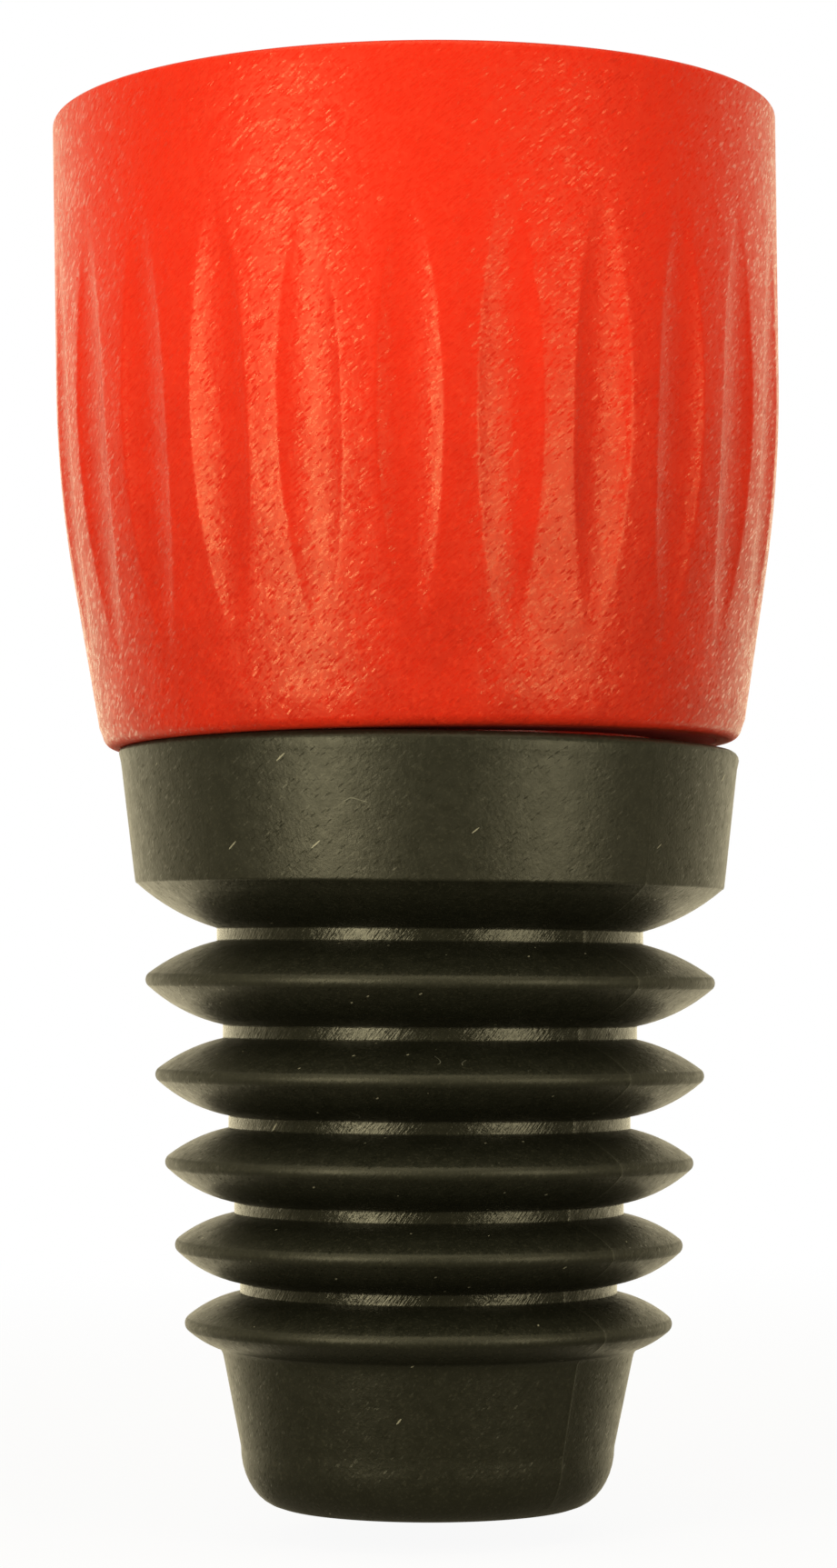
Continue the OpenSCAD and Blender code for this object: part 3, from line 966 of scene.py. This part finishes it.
acetal = smoothPlastic("naturalAcetal", chuckLook)
ringPiece = makeChuckRing(acetal)
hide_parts("chuck_ring")
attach(ringPiece, "chuck")
for jawIndex in range(chuck["jawCount"]):
    jawPiece = makeJaw(jawIndex, acetal)
    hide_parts("chuck_jaw_%d" % (jawIndex + 1))
    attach(jawPiece, "jaw_%d" % (jawIndex + 1))


studio = {
    "floorDrop": 37.21,             # mm, lower than the tail's edge at the ends of its bend
    "floorSize": 2000,
    "floorColour": (0.8, 0.8, 0.8),
    "floorUnseenColour": (0.15, 0.15, 0.145),
    "floorWhite": 0.93,             # share of plain white close to the object
    "whiteFrom": (40, 120),         # mm, over which the white takes over
    "floorShadeAtFoot": 0.4,               # painted shade: share of its glow that the floor keeps at the object's foot
    "shadeFrom": (6, 50),            # mm, over which the glow comes back
    # glow is the brightness of a lamp's face, where 1 is white
    "leftLamp": {
        "azimuth": -36.5,
        "height": -14,
        "distance": 70,
        "width": 27,
        "tall": 45,
        "glow": 8.0,
    },
    "rightLamp": {
        "azimuth": 43,
        "height": -18,
        "distance": 70,
        "width": 31,
        "tall": 38,
        "glow": 5.1,
    },
    "topLamp": {
        "azimuth": -8,
        "height": 260,
        "distance": 120,
        "width": 400,
        "tall": 300,
        "glow": 1.6,
    },
    "aim": (0, 0, -16),
    "lampColour": (1, 0.92, 0.72),
    "roomColour": (1, 0.89, 0.6),
    # front, back left and back right
    "roomGlow": (0.25, 1.8, 1.7),
    "floorGlow": (0.26, 1.6, 1.3),
    "horizon": (0.05, 0.45, 0.2),   # the glow falls from 1 to the last over these heights
}


def glowAround(tree, direction, strengths):
    # dim in front and bright behind, and brightest near the horizon
    front, backLeft, backRight = strengths
    behind = remap(tree, partOf(tree, direction, "Y"), 0, 0.85, 0, 1)
    glow = remap(tree, partOf(tree, direction, "X"), -0.4, 0.4, backLeft, backRight)
    height = mathOf(tree, "ABSOLUTE", partOf(tree, direction, "Z"))
    low, high, least = studio["horizon"]
    level = remap(tree, height, low, high, 1, least)
    glow = mathOf(tree, "MULTIPLY", mathOf(tree, "MULTIPLY", behind, glow), level)
    return mathOf(tree, "ADD", glow, front)


def seenDirectly(tree):
    path = tree.nodes.new("ShaderNodeLightPath")
    seen = mathOf(tree, "MAXIMUM", path.outputs["Is Camera Ray"], path.outputs["Is Transmission Ray"])
    return seen, path.outputs["Is Glossy Ray"]


def shaderOf(tree, kind, colour, strength=None):
    node = tree.nodes.new(kind)
    node.inputs["Color"].default_value = (*colour, 1)
    if strength is not None:
        tree.links.new(strength, node.inputs["Strength"])
    return node.outputs[0]


def mixShaders(tree, share, a, b):
    node = tree.nodes.new("ShaderNodeMixShader")
    tree.links.new(share, node.inputs["Fac"])
    tree.links.new(a, node.inputs[1])
    tree.links.new(b, node.inputs[2])
    return node.outputs["Shader"]


def addFloor():
    bm = bmesh.new()
    bmesh.ops.create_grid(bm, x_segments=1, y_segments=1, size=studio["floorSize"] * mm)
    bmesh.ops.translate(bm, verts=bm.verts, vec=(0, 0, -studio["floorDrop"] * mm))
    material = bpy.data.materials.new("paleFloor")
    material.use_nodes = True
    material.cycles.emission_sampling = "NONE"
    tree = material.node_tree
    tree.nodes.clear()
    output = tree.nodes.new("ShaderNodeOutputMaterial")
    where = patternPlace(tree)
    seen, glossy = seenDirectly(tree)
    # white takes over away from the object, so that the floor keeps the shadow and has no edge
    away = tree.nodes.new("ShaderNodeVectorMath")
    away.operation = "LENGTH"
    tree.links.new(where, away.inputs[0])
    start, end = studio["whiteFrom"]
    white = remap(tree, away.outputs["Value"], start * mm, end * mm, studio["floorWhite"], 1.0, True)
    pale = shaderOf(tree, "ShaderNodeBsdfDiffuse", studio["floorColour"])
    glow = shaderOf(tree, "ShaderNodeEmission", (1, 1, 1))
    flat = tree.nodes.new("ShaderNodeMapping")
    flat.inputs["Scale"].default_value = (1, 1, 0)
    tree.links.new(where, flat.inputs["Vector"])
    direction = tree.nodes.new("ShaderNodeVectorMath")
    direction.operation = "NORMALIZE"
    tree.links.new(flat.outputs["Vector"], direction.inputs[0])
    unseen = shaderOf(tree, "ShaderNodeBsdfDiffuse", studio["floorUnseenColour"])
    # painted shade: the floor's glow in reflections is dimmed near the object's foot
    start, end = studio["shadeFrom"]
    near = remap(tree, away.outputs["Value"], start * mm, end * mm, studio["floorShadeAtFoot"], 1.0)
    around = glowAround(tree, direction.outputs["Vector"], studio["floorGlow"])
    strength = mathOf(tree, "MULTIPLY", near, around)
    mirrored = shaderOf(tree, "ShaderNodeEmission", studio["roomColour"], strength)
    shown = mixShaders(tree, white, pale, glow)
    others = mixShaders(tree, glossy, unseen, mirrored)
    tree.links.new(mixShaders(tree, seen, others, shown), output.inputs["Surface"])
    floor = makePiece("studioFloor", bm, material)


def addWorld():
    world = bpy.data.worlds.new("softRoom")
    bpy.context.scene.world = world
    world.use_nodes = True
    tree = world.node_tree
    tree.nodes.clear()
    output = tree.nodes.new("ShaderNodeOutputWorld")
    direction = tree.nodes.new("ShaderNodeTexCoord").outputs["Generated"]
    strength = glowAround(tree, direction, studio["roomGlow"])
    room = shaderOf(tree, "ShaderNodeBackground", studio["roomColour"], strength)
    white = shaderOf(tree, "ShaderNodeBackground", (1, 1, 1))
    seen = seenDirectly(tree)[0]
    tree.links.new(mixShaders(tree, seen, room, white), output.inputs["Surface"])


def addLamp(name, settings):
    data = bpy.data.lights.new(name, "AREA")
    data.shape = "RECTANGLE"
    data.size = settings["width"] * mm
    data.size_y = settings["tall"] * mm
    data.energy = settings["glow"] * math.pi * data.size * data.size_y
    data.color = studio["lampColour"]
    lamp = bpy.data.objects.new(name, data)
    azimuth = math.radians(settings["azimuth"])
    reach = settings["distance"]
    spot = Vector((math.sin(azimuth) * reach, -math.cos(azimuth) * reach, settings["height"])) * mm
    toward = Vector(studio["aim"]) * mm - spot
    turn = toward.to_track_quat("-Z", "Y").to_matrix().to_4x4()
    lamp.matrix_world = Matrix.Translation(spot) @ turn
    lamp.visible_camera = False
    bpy.context.scene.collection.objects.link(lamp)


addFloor()
addWorld()
addLamp("leftSoftBox", studio["leftLamp"])
addLamp("rightSoftBox", studio["rightLamp"])
addLamp("topSoftBox", studio["topLamp"])
print("floor, world and lamps placed")
